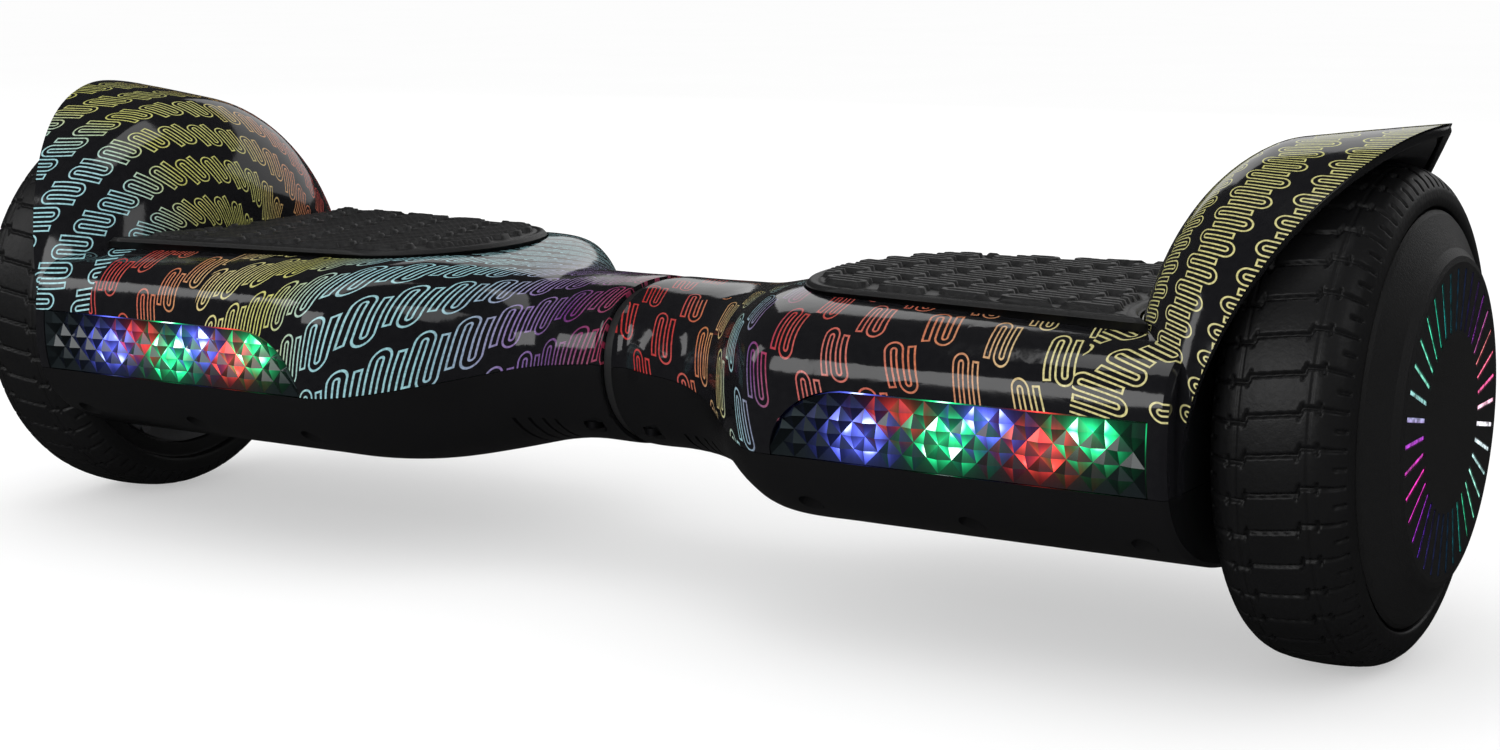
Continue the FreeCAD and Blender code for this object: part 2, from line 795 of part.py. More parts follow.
def motor_bearings():
    solids = []
    for x in (drum_in + end_gap, drum_out - bearing_width - end_gap):
        solids.append(ring(x, axle_z, bearing_radius, axle_radius + running, bearing_width))
    return Part.makeCompound(solids)


def motor_covers():
    """The two side plates of the motor."""
    return Part.makeCompound([motor_cover(True), motor_cover(False)])


def motor_cover(inner):
    """One side plate of the motor, with the cup that holds a bearing."""
    x = drum_in - cover_thickness if inner else drum_out
    bore = axle_radius + 1.2
    plate = ring(x, axle_z, tyre_seat_radius - 1.0, bore, cover_thickness)
    cup_x = drum_in if inner else drum_out - bearing_width - end_gap
    cup = ring(cup_x, axle_z, bearing_radius + cup_wall, bearing_radius + seat, bearing_width + end_gap)
    plate = plate.fuse(cup)
    for hole in cover_holes(x - 1, cover_screw_radius + 10 * seat, cover_thickness + 2):
        plate = plate.cut(hole)
    return largest(plate.removeSplitter())


def cover_holes(x, radius, length):
    """Cylinders on the circle of screws that hold the motor's covers on its drum."""
    hole = cylinder(x, 0, axle_z + tyre_seat_radius - drum_wall / 2 - 1.0, radius, length)
    return [turned(hole, 30 + i * 60) for i in range(6)]


def drilled_drum():
    drum = motor_drum()
    for hole in cover_holes(drum_in - 1, cover_screw_radius + seat, drum_out - drum_in + 2):
        drum = drum.cut(hole)
    return drum


def cover_screws():
    solids = []
    length = cover_thickness + 6
    for start, head_x in ((drum_in - cover_thickness, drum_in - cover_thickness - cover_head_height),
                          (drum_out - 6, drum_out + cover_thickness)):
        shanks = cover_holes(start, cover_screw_radius, length)
        heads = cover_holes(head_x, 2 * cover_screw_radius, cover_head_height)
        solids += [s.fuse(h).removeSplitter() for s, h in zip(shanks, heads)]
    return Part.makeCompound(solids)


def slot_bars(x0, x1, half_width, grow):
    """One radial bar for each light slot."""
    bar = box(x0, x1, -half_width, half_width, axle_z + slot_start * hub_face_radius - grow,
              axle_z + slot_end * hub_face_radius + grow)
    return [turned(bar, i * 360 / light_slots) for i in range(light_slots)]


def hub_cover():
    """The dished plastic cover on the outside of the wheel, with radial light slots."""
    face = half_length
    rim = hub_rim_radius
    inner_face = face - hub_wall
    profile = [(cover_base, rim - 2.4), (tyre_out - 1.2, rim - 0.6), (tyre_out, rim - 1.8),
               (face - 2.6, hub_face_radius + 3.0), (face - 0.5, hub_face_radius + 0.6),
               (face, hub_face_radius - 1.2), (face, 0), (inner_face, 0),
               (inner_face, hub_face_radius - 1.6), (tyre_out - 2.6, rim - 5.2), (cover_base, rim - 5.2)]
    cover = revolve(profile)
    for bar in slot_bars(inner_face - 1, face + 1, slot_half_width, 0):
        cover = cover.cut(bar)
    return largest(cover)


def hub_light_guide():
    """The clear ring whose fins fill the slots of the hub cover."""
    back = half_length - hub_wall - guide_thickness - running
    outer, inner = (slot_end + 0.03) * hub_face_radius, (slot_start - 0.06) * hub_face_radius
    guide = ring(back, axle_z, outer, inner, guide_thickness)
    fins = slot_bars(back + 1.0, half_length - 0.4, slot_half_width - end_gap / 2, -0.3)
    return guide.multiFuse(fins).removeSplitter()


def hub_light_board():
    """The ring board behind the light guide, with its lamps facing out."""
    face = half_length - hub_wall - guide_thickness - 2.3
    outer, inner = (slot_end + 0.02) * hub_face_radius, (slot_start - 0.11) * hub_face_radius
    board = ring(face - board_thickness, axle_z, outer, inner, board_thickness)
    middle, half = axle_z + (slot_start + slot_end) / 2 * hub_face_radius, 2.5
    lamp = box(face, face + 1.6, -half, half, middle - half, middle + half)
    lamps = [turned(lamp, i * 360 / hub_lamp_count) for i in range(hub_lamp_count)]
    return board.multiFuse(lamps).removeSplitter()


def motor_cable():
    """The motor's cable: out of the hollow axle and down to its plug."""
    start, turn = block_x - 3 - end_gap, cable_turn
    x = start - turn - 4
    low = axle_z - turn - 14
    a, b = V(start, 0, axle_z), V(x + turn, 0, axle_z)
    c, d = V(x, 0, axle_z - turn), V(x, 0, low)
    middle = V(x + turn * (1 - math.sqrt(0.5)), 0, axle_z - turn * (1 - math.sqrt(0.5)))
    path = Part.Wire([line(a, b), Part.Arc(b, middle, c).toShape(),
                      line(c, d)])
    profile = Part.Wire([Part.makeCircle(cable_radius, a, V(1, 0, 0))])
    tube = path.makePipeShell([profile], True, False)
    half, wide = 1.5 * cable_radius, 3 * cable_radius
    return tube.fuse(box(x - half, x + half, -wide, wide, low - 8, low)).removeSplitter()


# Electrical pieces

def battery_pack():
    """Ten cells in two layers, in one wrapping."""
    x0, z0 = electrics_x + cell_radius, under_z + wall + 3.5
    x1, y0 = x0 + 8 * cell_radius, -cell_length / 2
    form = box(x0, x1, y0, -y0, z0, z0 + 4 * cell_radius)
    for x in (x0, x1):
        for layer in range(2):
            z = z0 + (2 * layer + 1) * cell_radius
            form = form.fuse(cylinder(x, y0, z, cell_radius, cell_length, V(0, 1, 0)))
    return form.removeSplitter()


def controller_board():
    """The motor controller on its heat sink."""
    length, half, edge = controller_length, controller_half_width, 4.0
    x0, z0 = electrics_x, under_z + wall + 6.0
    board = z0 + 5.0
    face = board + board_thickness
    form = box(x0, x0 + length, -half, half, z0, board)
    form = form.fuse(box(x0 + edge, x0 + length - edge, -half + edge, half - edge, board, face))
    pitch = (length - 2 * edge) / 6
    for i in range(6):
        x = x0 + edge + (i + 0.5) * pitch
        form = form.fuse(box(x - 4.5, x + 4.5, half - edge - 8, half - edge - 3, board, face + 14))
    for i in range(3):
        x = x0 + edge + (i + 0.5) * 1.5 * pitch
        form = form.fuse(upright(x, -half + edge + 12, board, 7.5, face + 22 - board))
    middle, chip = x0 + length / 2, 6.0
    form = form.fuse(box(middle - chip, middle + chip, -chip, chip, board, face + 2))
    return mirrored(form.removeSplitter())


def y_cylinder(x, y0, y1, radius, z=None):
    return cylinder(x, y0, switch_z if z is None else z, radius, y1 - y0, V(0, 1, 0))


def button_housing():
    cup = y_cylinder(button_x, switch_face - button_depth - wall, switch_face, bezel_radius)
    well = y_cylinder(button_x, switch_face - button_depth, switch_face + 1, button_radius + button_gap)
    return cup.cut(well)


def power_button():
    """The dished button, with room behind it for its travel."""
    face, dish_radius = switch_face - 0.3, 40.0
    cap = y_cylinder(button_x, switch_face - button_depth + button_travel + 0.3, face, button_radius)
    return cap.cut(Part.makeSphere(dish_radius, V(button_x, face - 0.6 + dish_radius, switch_z)))


def charge_port():
    """The three-pin charging inlet, with a recess round it for its cap."""
    depth = 12.0
    cup = y_cylinder(port_x, switch_face - depth - 4, switch_face, bezel_radius)
    pocket = y_cylinder(port_x, switch_face - cap_thickness - 0.5, switch_face + 1, cap_radius + cap_gap)
    socket = y_cylinder(port_x, switch_face - depth, switch_face, inlet_radius)
    cup = cup.cut(pocket).cut(socket)
    for i in range(3):
        angle = math.radians(90 + 120 * i)
        x, z = port_x + inlet_pin_circle * math.cos(angle), switch_z + inlet_pin_circle * math.sin(angle)
        cup = cup.fuse(y_cylinder(x, switch_face - depth - 1, switch_face - 5, inlet_pin_radius, z))
    return largest(cup.removeSplitter())


def charge_cap():
    """The rubber cap over the charging inlet. It lifts on a hinge along its top edge."""
    cap = y_cylinder(port_x, switch_face - cap_thickness, switch_face - 0.1, cap_radius)
    low = switch_z - cap_radius
    tab = box(port_x - 3, port_x + 3, switch_face - 0.9, switch_face - 0.1, low - 0.1, low + 3)
    return cap.cut(tab).removeSplitter()


def save(name, shape):
    shape.exportStep(os.path.join("parts", name + ".step"))


def save_pair(name, shape):
    """The right-hand piece and its mirror image."""
    save("right_" + name, shape)
    save("left_" + name, mirrored(shape))


def main():
    body, fender = outer_form()
    hollow = cavity(neck_gap - 1)
    shell = upper_shell(body, fender, hollow)
    save("left_upper_shell", mirrored(shell))
    save("right_upper_shell", shell.cut(switch_holes()))
    save_pair("lower_shell", lower_shell(body, hollow))
    save_pair("light_lens", light_lens(body))
    for name, build in (("shell_screws", shell_screws), ("light_board", light_board),
                        ("foot_mat", foot_mat), ("pad_plate", pad_plate),
                        ("gyro_board", gyro_board), ("motor_covers", motor_covers),
                        ("axle_clamp", axle_clamp), ("clamp_screws", clamp_screws),
                        ("tyre", tyre), ("motor_drum", drilled_drum),
                        ("motor_magnets", motor_magnets), ("motor_stator", motor_stator),
                        ("motor_windings", motor_windings), ("axle", axle),
                        ("motor_bearings", motor_bearings), ("cover_screws", cover_screws),
                        ("hub_cover", hub_cover), ("hub_light_guide", hub_light_guide),
                        ("hub_light_board", hub_light_board), ("motor_cable", motor_cable)):
        save_pair(name, build())
    for name, build in (("right_frame", moving_frame), ("left_frame", fixed_frame),
                        ("pivot_shaft", pivot_shaft), ("pivot_bushes", pivot_bushes),
                        ("snap_rings", snap_rings), ("stop_pins", stop_pins),
                        ("neck_seal", neck_seal), ("wiring_loom", wiring_loom),
                        ("battery_pack", battery_pack), ("controller_board", controller_board),
                        ("button_housing", button_housing), ("power_button", power_button),
                        ("charge_port", charge_port), ("charge_cap", charge_cap)):
        save(name, build())


main()
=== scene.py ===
"""The looks of the self balancing hoverboard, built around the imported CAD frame. Metres."""
import json
import math

import bpy
import numpy as np
from mathutils import Matrix, Vector
from mathutils.bvhtree import BVHTree
from mathutils.kdtree import KDTree


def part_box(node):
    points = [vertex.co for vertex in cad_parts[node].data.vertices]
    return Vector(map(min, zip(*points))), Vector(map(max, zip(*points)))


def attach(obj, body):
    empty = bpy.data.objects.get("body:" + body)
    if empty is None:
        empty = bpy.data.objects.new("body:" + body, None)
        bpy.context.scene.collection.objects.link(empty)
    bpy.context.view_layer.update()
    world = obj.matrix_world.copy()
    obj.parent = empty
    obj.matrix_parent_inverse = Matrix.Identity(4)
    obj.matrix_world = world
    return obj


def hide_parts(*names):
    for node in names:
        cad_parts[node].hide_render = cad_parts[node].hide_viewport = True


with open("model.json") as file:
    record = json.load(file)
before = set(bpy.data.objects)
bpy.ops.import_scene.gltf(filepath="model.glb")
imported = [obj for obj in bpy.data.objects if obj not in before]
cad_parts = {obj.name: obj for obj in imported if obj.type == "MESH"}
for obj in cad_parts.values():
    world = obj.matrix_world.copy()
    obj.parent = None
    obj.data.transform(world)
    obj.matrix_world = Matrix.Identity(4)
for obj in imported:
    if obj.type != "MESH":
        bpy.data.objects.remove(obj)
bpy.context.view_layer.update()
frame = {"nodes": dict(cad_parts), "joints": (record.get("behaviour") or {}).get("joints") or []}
MM = 0.001
NODES = frame["nodes"]
SIDES = (("left", -1), ("right", 1))

JOINTS = {j["name"]: j for j in frame["joints"]}
AXLE_Z = JOINTS["right_wheel_spin"]["pos_m"][2]
PIVOT_Z = JOINTS["centre_pivot"]["pos_m"][2]
TYRE_MID = JOINTS["right_wheel_spin"]["pos_m"][0]
TYRE_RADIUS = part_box("right_tyre")[1].z - AXLE_Z


# Node graphs

class Graph:
    """Writes shader maths as plain expressions."""

    def __init__(self, tree):
        self.tree = tree

    def node(self, kind, **settings):
        made = self.tree.nodes.new(kind)
        for key, value in settings.items():
            setattr(made, key, value)
        return made

    def link(self, source, target):
        if isinstance(source, Value):
            source = source.socket
        if isinstance(source, bpy.types.NodeSocket):
            self.tree.links.new(source, target)
        else:
            target.default_value = source

    def math(self, operation, *inputs, clamp=False):
        made = self.node("ShaderNodeMath", operation=operation, use_clamp=clamp)
        for i, value in enumerate(inputs):
            self.link(value, made.inputs[i])
        return Value(self, made.outputs[0])

    def mix_colour(self, factor, a, b, blend="MIX"):
        made = self.node("ShaderNodeMix", data_type="RGBA", blend_type=blend)
        self.link(factor, made.inputs[0])
        self.link(a, made.inputs[6])
        self.link(b, made.inputs[7])
        return made.outputs[2]

    def smooth(self, value, low, high):
        made = self.node("ShaderNodeMapRange", interpolation_type="SMOOTHSTEP")
        self.link(value, made.inputs[0])
        made.inputs[1].default_value = low
        made.inputs[2].default_value = high
        return Value(self, made.outputs[0])

    def ramp(self, factor, stops, interpolation="LINEAR"):
        made = self.node("ShaderNodeValToRGB")
        made.color_ramp.interpolation = interpolation
        elements = made.color_ramp.elements
        while len(elements) > 1:
            elements.remove(elements[-1])
        for i, (place, colour) in enumerate(stops):
            element = elements[0] if i == 0 else elements.new(place)
            element.position = place
            element.color = (*colour, 1.0)
        self.link(factor, made.inputs[0])
        return made.outputs[0]

    def noise(self, vector, scale, detail=2.0, rough=0.5):
        made = self.node("ShaderNodeTexNoise")
        self.link(vector, made.inputs["Vector"])
        made.inputs["Scale"].default_value = scale
        made.inputs["Detail"].default_value = detail
        made.inputs["Roughness"].default_value = rough
        return Value(self, made.outputs[0])

    def bump(self, height, strength, distance, normal=None):
        made = self.node("ShaderNodeBump")
        self.link(height, made.inputs["Height"])
        made.inputs["Strength"].default_value = strength
        made.inputs["Distance"].default_value = distance
        if normal is not None:
            self.link(normal, made.inputs["Normal"])
        return made.outputs[0]


class Value:
    """A number in a shader graph, with the usual operators."""

    def __init__(self, graph, socket):
        self.graph, self.socket = graph, socket

    def __add__(self, other):
        return self.graph.math("ADD", self, other)

    def __radd__(self, other):
        return self.graph.math("ADD", other, self)

    def __sub__(self, other):
        return self.graph.math("SUBTRACT", self, other)

    def __rsub__(self, other):
        return self.graph.math("SUBTRACT", other, self)

    def __mul__(self, other):
        return self.graph.math("MULTIPLY", self, other)

    def __rmul__(self, other):
        return self.graph.math("MULTIPLY", other, self)

    def __truediv__(self, other):
        return self.graph.math("DIVIDE", self, other)

    def __neg__(self):
        return self.graph.math("MULTIPLY", self, -1.0)

    def abs(self):
        return self.graph.math("ABSOLUTE", self)

    def above(self, other):
        return self.graph.math("GREATER_THAN", self, other)

    def below(self, other):
        return self.graph.math("LESS_THAN", self, other)

    def high(self, other):
        return self.graph.math("MAXIMUM", self, other)

    def low(self, other):
        return self.graph.math("MINIMUM", self, other)

    def hypot(self, other):
        return self.graph.math("SQRT", self * self + other * other)

    def choose(self, yes, no):
        """yes where this is 1, no where it is 0."""
        return self * yes + (1.0 - self) * no


def new_material(name):
    made = bpy.data.materials.new(name)
    made.use_nodes = True
    tree = made.node_tree
    tree.nodes.clear()
    graph = Graph(tree)
    shader = graph.node("ShaderNodeBsdfPrincipled")
    out = graph.node("ShaderNodeOutputMaterial")
    tree.links.new(shader.outputs[0], out.inputs[0])
    return made, graph, shader


def set_inputs(shader, **values):
    names = {"colour": "Base Color", "rough": "Roughness", "metal": "Metallic", "coat": "Coat Weight",
             "coat_rough": "Coat Roughness", "ior": "IOR", "transmission": "Transmission Weight",
             "specular": "Specular IOR Level", "sheen": "Sheen Weight", "alpha": "Alpha",
             "emission": "Emission Color", "emission_strength": "Emission Strength", "normal": "Normal",
             "anisotropic": "Anisotropic"}
    graph = Graph(shader.id_data)
    for key, value in values.items():
        if isinstance(value, tuple) and len(value) == 3:
            value = (*value, 1.0)
        graph.link(value, shader.inputs[names[key]])


def object_place(graph):
    """The point in the row frame, in metres, as a vector and three numbers."""
    coordinates = graph.node("ShaderNodeTexCoord").outputs["Object"]
    parts = graph.node("ShaderNodeSeparateXYZ")
    graph.link(coordinates, parts.inputs[0])
    return coordinates, [Value(graph, parts.outputs[i]) for i in range(3)]


# The printed pattern: rows of serpentine squiggles drawn as double lines

BAR_PITCH = 3.5 * MM
BAR_HALF = 4.9 * MM
RIBBON_HALF = 0.95 * MM
LINE_HALF = 0.29 * MM
UNIT = 3 * BAR_PITCH


def serpentine_group():
    """Node group: 1 on the printed lines at a point (u, v), and 0 between them.

    Bars run along v, and a row of them along u, where it climbs at each third bar."""
    tree = bpy.data.node_groups.new("serpentine_lines", "ShaderNodeTree")
    for name in ("U", "V", "Climb", "Row pitch"):
        tree.interface.new_socket(name, in_out="INPUT", socket_type="NodeSocketFloat")
    tree.interface.new_socket("Line", in_out="OUTPUT", socket_type="NodeSocketFloat")
    graph = Graph(tree)
    given = graph.node("NodeGroupInput")
    u, v, climb, pitch = (Value(graph, given.outputs[i]) for i in range(4))
    unit = graph.math("FLOOR", u / UNIT)
    x = u - unit * UNIT
    t = v - unit * climb
    row = graph.math("FLOOR", t / pitch)
    t = t - (row + 0.5) * pitch
    second = x.above(1.5 * BAR_PITCH)
    x = second.choose(UNIT - x, x)
    t = second.choose(-t, t)
    a = x - BAR_PITCH
    half = BAR_PITCH / 2
    over = (a.hypot(t - BAR_HALF) - half).abs()
    beside = (a.abs() - half).abs()
    square_end = (a + half).abs().high(-BAR_HALF - t)
    turn = ((a - BAR_PITCH).hypot(t + BAR_HALF) - half).abs()
    under = a.below(0.0).choose(square_end, turn)
    distance = t.above(BAR_HALF).choose(over, t.below(-BAR_HALF).choose(under, beside))
    edge = (distance - RIBBON_HALF).abs()
    line = 1.0 - graph.smooth(edge, LINE_HALF * 0.75, LINE_HALF * 1.25)
    result = graph.node("NodeGroupOutput")
    graph.link(line, result.inputs[0])
    return tree


SERPENTINE = serpentine_group()


def serpentine(graph, u, v, climb, pitch, tilt=0.0, shear=0.0):
    """The lines on a surface with places (u, v), whose bars lean by tilt degrees and shear."""
    c, s = math.cos(math.radians(tilt)), math.sin(math.radians(tilt))
    made = graph.node("ShaderNodeGroup", node_tree=SERPENTINE)
    along, across = u * c - v * s, u * s + v * c
    for i, value in enumerate((along + across * shear, across, climb * MM, pitch * MM)):
        graph.link(value, made.inputs[i])
    return Value(graph, made.outputs[0])


RED = (0.38, 0.012, 0.012)
CRIMSON = (0.30, 0.010, 0.035)
SALMON = (0.46, 0.085, 0.050)
ORANGE = (0.48, 0.19, 0.075)
CREAM = (0.55, 0.50, 0.22)
YELLOW = (0.47, 0.47, 0.13)
CYAN = (0.28, 0.52, 0.56)
LILAC = (0.19, 0.12, 0.32)
PURPLE = (0.11, 0.03, 0.16)

# Colour along the board, from the left end to the right end, as (share of the length, colour)
LEFT_FLOW = [(0.0, PURPLE), (0.06, CRIMSON), (0.13, RED), (0.22, SALMON), (0.30, ORANGE), (0.38, CREAM),
             (0.50, YELLOW), (0.60, CYAN), (0.72, CYAN), (0.82, LILAC), (0.90, PURPLE), (1.0, CRIMSON)]
RIGHT_FLOW = [(0.0, RED), (0.14, RED), (0.21, ORANGE), (0.29, CREAM), (0.35, CYAN), (0.41, PURPLE),
              (0.46, RED), (0.60, SALMON), (0.74, ORANGE), (0.86, CREAM), (1.0, CREAM)]
LEFT_DOME = [(0.0, CYAN), (0.18, CYAN), (0.34, YELLOW), (0.56, YELLOW), (0.72, ORANGE), (0.85, RED),
             (1.0, CRIMSON)]
RIGHT_DOME = [(0.0, CREAM), (0.35, YELLOW), (0.6, CREAM), (0.8, SALMON), (1.0, RED)]

SHELL_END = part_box("right_lower_shell")[1].x
LENS_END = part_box("right_light_lens")[1].x
LENS_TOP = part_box("right_light_lens")[1].z
DOME_FOOT = SHELL_END - 29 * MM
SHOULDER = (36 * MM, 99 * MM)
NECK_WRAP = 36 * MM         # print length per radian round the neck
BODY_WRAP = 44 * MM         # what the body's larger girth adds to it
DOME_WRAP = {"left": 74 * MM, "right": 94 * MM}
DOME_SPREAD = 0.80          # print length per metre outwards over a fender
LEFT_SPLIT = -150 * MM      # where the left body's steep rows turn into slanted ones
BARE_ALONG = (30 * MM, 64 * MM)
BARE_ABOVE_PIVOT = 10 * MM


def printed_shell(side, sign):
    """Glossy black moulding with the printed film's coloured lines under the lacquer."""
    made, graph, shader = new_material("printed_shell_" + side)
    place, (x, y, z) = object_place(graph)
    wobble = graph.noise(place, 14.0, 1.0)
    along = x * float(sign)
    height = z - PIVOT_Z
    turn = graph.math("ARCTAN2", height, -y)
    reach = NECK_WRAP + BODY_WRAP * graph.smooth(along, *SHOULDER)
    v_body = turn * reach + (wobble - 0.5) * 0.014
    u_body = x + (wobble - 0.5) * 0.012
    polar = graph.math("ARCTAN2", z - AXLE_Z, -y)
    u_dome = (y.hypot(z - AXLE_Z) + along) * DOME_SPREAD + (wobble - 0.5) * 0.008
    v_dome = polar * DOME_WRAP[side] + (wobble - 0.5) * 0.010
    if side == "left":
        outer = serpentine(graph, u_body, v_body, climb=9.0, pitch=30.0, shear=0.15)
        inner = serpentine(graph, u_body, v_body, climb=2.0, pitch=20.0, tilt=-14.0, shear=-0.45)
        body_line = x.above(LEFT_SPLIT).choose(inner, outer)
        dome_line = serpentine(graph, v_dome, u_dome, climb=-5.5, pitch=23.0, shear=0.2)
    else:
        body_line = serpentine(graph, u_body, v_body, climb=13.5, pitch=31.0, shear=0.3)
        dome_line = serpentine(graph, v_dome, u_dome, climb=2.5, pitch=21.0, shear=0.35)
    on_dome = along.above(DOME_FOOT - 1.5 * MM)
    line = on_dome.choose(dome_line, body_line)
    line = line * (1.0 - along.above(LENS_END - 1 * MM) * z.below(LENS_TOP))
    if side == "right":
        bare = along.above(BARE_ALONG[0]) * along.below(BARE_ALONG[1]) * height.above(BARE_ABOVE_PIVOT)
        bare = bare * (y + 0.03).above(along * 0.2) * y.below(0.0)
        line = line * (1.0 - bare)
    normal = graph.node("ShaderNodeSeparateXYZ")
    graph.link(graph.node("ShaderNodeTexCoord").outputs["Normal"], normal.inputs[0])
    n_x, n_y, n_z = (Value(graph, normal.outputs[i]) for i in range(3))
    outward = n_y * y + n_z * (z - AXLE_Z) - n_x * float(sign) * 0.05
    line = line * on_dome.choose(outward.above(0.0), 1.0)

    flow = along / SHELL_END
    flow = (1.0 - flow if side == "left" else flow) + height * (1.2 if side == "right" else -0.6)
    body_colour = graph.ramp(flow, LEFT_FLOW if side == "left" else RIGHT_FLOW)
    dome_flow = (y + 0.085) / 0.16 + (z - 0.12) * (1.0 if side == "left" else -2.0)
    dome_colour = graph.ramp(dome_flow, LEFT_DOME if side == "left" else RIGHT_DOME)
    colour = graph.mix_colour(on_dome, body_colour, dome_colour)
    patch = graph.noise(place, 30.0, 2.0)
    colour = graph.mix_colour((patch - 0.35) * 0.35, colour, (0.6, 0.6, 0.55, 1.0))
    mottle = graph.noise(place, 400.0, 2.0)
    black = graph.mix_colour(mottle, (0.004, 0.004, 0.005, 1.0), (0.008, 0.008, 0.009, 1.0))
    print_depth = 0.72 + 0.28 * graph.smooth(graph.noise(place, 900.0, 1.0), 0.35, 0.6)
    base = graph.mix_colour(line * print_depth, black, colour)
    peel = graph.noise(place, 260.0, 2.0)
    scuff = graph.smooth(graph.noise(place, 55.0, 5.0, 0.7), 0.45, 0.8)
    set_inputs(shader, colour=base, rough=0.085 + scuff * 0.06, specular=0.5,
               normal=graph.bump(peel, 0.06, 0.0004))
    return made


def satin_plastic(name, colour, rough, grain_scale, grain):
    """Moulded plastic with a fine spark-eroded grain."""
    made, graph, shader = new_material(name)
    place, _ = object_place(graph)
    fine = graph.noise(place, grain_scale, 3.0, 0.65)
    broad = graph.noise(place, 35.0, 3.0)
    dark = tuple(c * 0.75 for c in colour)
    tint = graph.mix_colour(broad, (*dark, 1.0), (*colour, 1.0))
    set_inputs(shader, colour=tint, rough=rough - 0.06 + broad * 0.12,
               normal=graph.bump(fine, grain, 0.0003))
    return made


def rubber(name, colour, rough, scale):
    made, graph, shader = new_material(name)
    place, _ = object_place(graph)
    fine = graph.noise(place, scale, 4.0, 0.6)
    broad = graph.noise(place, 45.0, 3.0)
    tint = graph.mix_colour(broad, (*(c * 0.7 for c in colour), 1.0), (*(c * 1.2 for c in colour), 1.0))
    set_inputs(shader, colour=tint, rough=rough - 0.05 + fine * 0.12, specular=0.35,
               normal=graph.bump(fine, 0.35, 0.0004))
    return made


def metal(name, colour, rough, cast):
    made, graph, shader = new_material(name)
    place, _ = object_place(graph)
    grain = graph.noise(place, 900.0 if cast else 260.0, 4.0)
    tint = graph.mix_colour(grain, (*(c * 0.8 for c in colour), 1.0), (*colour, 1.0))
    set_inputs(shader, colour=tint, metal=1.0, rough=rough - 0.05 + grain * 0.12,
               normal=graph.bump(grain, 0.35 if cast else 0.08, 0.0003))
    return made


def circuit_material():
    """Solder mask with copper tracks."""
    made, graph, shader = new_material("circuit_board")
    place, _ = object_place(graph)
    bricks = graph.node("ShaderNodeTexBrick")
    graph.link(place, bricks.inputs["Vector"])
    bricks.inputs["Scale"].default_value = 120.0
    bricks.inputs["Mortar Size"].default_value = 0.03
    tracks = Value(graph, bricks.outputs["Fac"])
    colour = graph.mix_colour(tracks, (0.01, 0.10, 0.045, 1.0), (0.03, 0.22, 0.09, 1.0))
    set_inputs(shader, colour=colour, rough=0.35 + 0.15 * graph.noise(place, 300.0))
    return made


# Lights inside the object

BLUE, GREEN, RED_GLOW = (0.12, 0.16, 1.0), (0.02, 0.85, 0.28), (1.0, 0.06, 0.05)
LAMPS = {
    "right": [(0.132, 0.074, BLUE, 1.0), (0.146, 0.086, RED_GLOW, 0.25), (0.162, 0.077, GREEN, 1.3),
              (0.1765, 0.086, BLUE, 0.9), (0.194, 0.077, RED_GLOW, 0.7), (0.210, 0.085, GREEN, 1.0)],
    "left": [(-0.1945, 0.077, BLUE, 0.9), (-0.180, 0.083, RED_GLOW, 0.35), (-0.164, 0.075, GREEN, 1.2),
             (-0.150, 0.084, BLUE, 1.0), (-0.134, 0.077, RED_GLOW, 0.7), (-0.122, 0.083, GREEN, 1.0)],
}


def stretched(graph, place, scale):
    made = graph.node("ShaderNodeVectorMath", operation="MULTIPLY")
    graph.link(place, made.inputs[0])
    made.inputs[1].default_value = scale
    return made.outputs[0]


def lens_material(side):
    """Faceted clear plastic: each facet picks up the lamps behind it by its own tilt."""
    made, graph, shader = new_material("light_bar_" + side)
    place, (x, _, z) = object_place(graph)
    normal = graph.node("ShaderNodeSeparateXYZ")
    graph.link(graph.node("ShaderNodeNewGeometry").outputs["True Normal"], normal.inputs[0])
    tilt_x, tilt_z = Value(graph, normal.outputs[0]), Value(graph, normal.outputs[2])
    # A tilted facet shows what lies to one side of it.
    seen_x, seen_z = x - tilt_x * 0.013, z - tilt_z * 0.013
    total = None
    core = None
    for lamp_x, lamp_z, colour, power in LAMPS[side]:
        gap = (seen_x - lamp_x).hypot((seen_z - lamp_z) * 1.15)
        glow = graph.math("EXPONENT", -(gap * gap) / (0.0047 ** 2)) * power
        halo = graph.math("EXPONENT", -(gap * gap) / (0.0110 ** 2)) * (0.07 * power)
        scaled = graph.node("ShaderNodeMix", data_type="RGBA", blend_type="MIX")
        graph.link(glow + halo, scaled.inputs[0])
        scaled.clamp_factor = False
        scaled.inputs[6].default_value = (0, 0, 0, 1)
        scaled.inputs[7].default_value = (*colour, 1.0)
        light = scaled.outputs[2]
        total = light if total is None else graph.mix_colour(1.0, total, light, "ADD")
        heart = graph.smooth(glow, 0.62, 1.15)
        core = heart if core is None else core.high(heart)
    total = graph.mix_colour(core * 0.85, total, (0.85, 1.0, 1.0, 1.0))
    facet = graph.noise(graph.node("ShaderNodeNewGeometry").outputs["True Normal"], 3.0, 0.0)
    # Painted shade: the lens's base colour is lighter on facets whose normals tilt up and towards +x, as if
    # lit from above, and darker on the others.
    shade = graph.smooth(tilt_z * 0.9 + tilt_x * 0.35, -0.15, 0.75)
    painted_facet_shading = graph.mix_colour(shade, (0.002, 0.003, 0.0035, 1.0), (0.030, 0.040, 0.044, 1.0))
    ribs = 0.75 + 0.5 * graph.noise(stretched(graph, place, (900.0, 60.0, 60.0)), 1.0, 1.0)
    set_inputs(shader, colour=painted_facet_shading, rough=0.07, specular=0.5, emission=total,
               emission_strength=(1.8 + facet * 1.8) * ribs)
    return made


